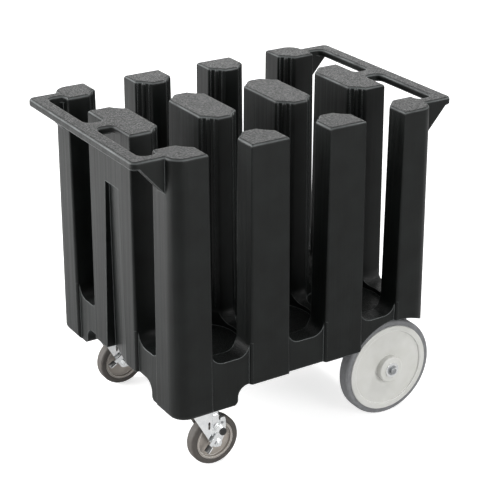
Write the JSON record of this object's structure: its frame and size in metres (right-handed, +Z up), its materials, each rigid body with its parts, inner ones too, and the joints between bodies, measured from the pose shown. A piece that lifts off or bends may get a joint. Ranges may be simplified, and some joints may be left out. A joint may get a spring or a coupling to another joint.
{
  "type": "dish caddy",
  "caption": "Moulded plate dolly with open slotted wells for stacked plates, handles at both ends, large fixed rear wheels on an axle and small braked swivel casters.",
  "frame": {"origin": "middle of the footprint on the floor, under the whole caddy", "axes": "+Z up, +X towards the end with the large wheels, -Y the side nearest the viewer"},
  "size_m": [0.8602, 0.6106, 0.808],
  "materials": {
    "polyethylene": "moulded, fine pebble, satin",
    "plain_steel": "turned",
    "zinc_steel": "bright zinc plated",
    "brass": "turned",
    "nylon": "machined",
    "wheel_plastic": "moulded, off-white",
    "grey_rubber": "moulded thermoplastic rubber",
    "core_plastic": "moulded",
    "black_plastic": "moulded"
  },
  "bodies": {
    "body": {"body_moulding": "polyethylene", "rear_axle": "plain_steel", "caster_bolts": "zinc_steel", "threaded_inserts": "brass", "near_axle_bush": "nylon", "near_hub_spacer": "nylon", "near_axle_washer": "zinc_steel", "near_axle_clip": "plain_steel", "near_caster_plate": "zinc_steel", "near_caster_balls": "plain_steel", "near_caster_kingpin": "zinc_steel", "near_caster_thrust_washer": "zinc_steel", "far_axle_bush": "nylon", "far_hub_spacer": "nylon", "far_axle_washer": "zinc_steel", "far_axle_clip": "plain_steel", "far_caster_plate": "zinc_steel", "far_caster_balls": "plain_steel", "far_caster_kingpin": "zinc_steel", "far_caster_thrust_washer": "zinc_steel"},
    "near_wheel": {"near_wheel_disc": "wheel_plastic", "near_wheel_tyre": "grey_rubber", "near_hub_bush": "nylon"},
    "near_caster_swivel": {"near_caster_fork": "zinc_steel", "near_caster_axle_bolt": "zinc_steel", "near_caster_axle_nut": "zinc_steel", "near_caster_bush": "plain_steel", "near_caster_brake_bracket": "zinc_steel", "near_caster_brake_pivots": "plain_steel"},
    "near_caster_wheel": {"near_caster_core": "core_plastic", "near_caster_tyre": "grey_rubber"},
    "near_caster_lever": {"near_caster_brake_lever": "zinc_steel", "near_caster_knob_cap": "black_plastic", "near_caster_pedal_pad": "black_plastic"},
    "near_caster_shoe": {"near_caster_brake_shoe": "zinc_steel"},
    "far_wheel": {"far_wheel_disc": "wheel_plastic", "far_wheel_tyre": "grey_rubber", "far_hub_bush": "nylon"},
    "far_caster_swivel": {"far_caster_fork": "zinc_steel", "far_caster_axle_bolt": "zinc_steel", "far_caster_axle_nut": "zinc_steel", "far_caster_bush": "plain_steel", "far_caster_brake_bracket": "zinc_steel", "far_caster_brake_pivots": "plain_steel"},
    "far_caster_wheel": {"far_caster_core": "core_plastic", "far_caster_tyre": "grey_rubber"},
    "far_caster_lever": {"far_caster_brake_lever": "zinc_steel", "far_caster_knob_cap": "black_plastic", "far_caster_pedal_pad": "black_plastic"},
    "far_caster_shoe": {"far_caster_brake_shoe": "zinc_steel"}
  },
  "joints": [
    {"name": "near_wheel_spin", "type": "hinge", "parent": "body", "child": "near_wheel", "pos_m": [0.2685, -0.25, 0.127], "axis": [0, 1, 0], "continuous": true},
    {"name": "near_caster_turn", "type": "hinge", "parent": "body", "child": "near_caster_swivel", "pos_m": [-0.262, -0.235, 0.158], "axis": [0, 0, 1], "continuous": true},
    {"name": "near_caster_spin", "type": "hinge", "parent": "near_caster_swivel", "child": "near_caster_wheel", "pos_m": [-0.225, -0.235, 0.0635], "axis": [0, 1, 0], "continuous": true},
    {"name": "near_caster_brake", "type": "hinge", "parent": "near_caster_swivel", "child": "near_caster_lever", "pos_m": [-0.217, -0.2636, 0.0965], "axis": [0, 1, 0], "range_deg": [0, 21]},
    {"name": "near_caster_shoe_slide", "type": "slide", "parent": "near_caster_swivel", "child": "near_caster_shoe", "axis": [0.2356, 0, 0.9719], "range_m": [0, 0.00164]},
    {"name": "far_wheel_spin", "type": "hinge", "parent": "body", "child": "far_wheel", "pos_m": [0.2685, 0.25, 0.127], "axis": [0, 1, 0], "continuous": true},
    {"name": "far_caster_turn", "type": "hinge", "parent": "body", "child": "far_caster_swivel", "pos_m": [-0.262, 0.235, 0.158], "axis": [0, 0, 1], "continuous": true},
    {"name": "far_caster_spin", "type": "hinge", "parent": "far_caster_swivel", "child": "far_caster_wheel", "pos_m": [-0.225, 0.235, 0.0635], "axis": [0, 1, 0], "continuous": true},
    {"name": "far_caster_brake", "type": "hinge", "parent": "far_caster_swivel", "child": "far_caster_lever", "pos_m": [-0.217, 0.2064, 0.0965], "axis": [0, 1, 0], "range_deg": [-21, 0]},
    {"name": "far_caster_shoe_slide", "type": "slide", "parent": "far_caster_swivel", "child": "far_caster_shoe", "axis": [0.2356, 0, 0.9719], "range_m": [-0.00164, 0]}
  ],
  "couplings": [
    {"joint": "near_caster_shoe_slide", "follows": "near_caster_brake", "m_per_rad": 0.0044748},
    {"joint": "far_caster_shoe_slide", "follows": "far_caster_brake", "m_per_rad": 0.0044748}
  ]
}
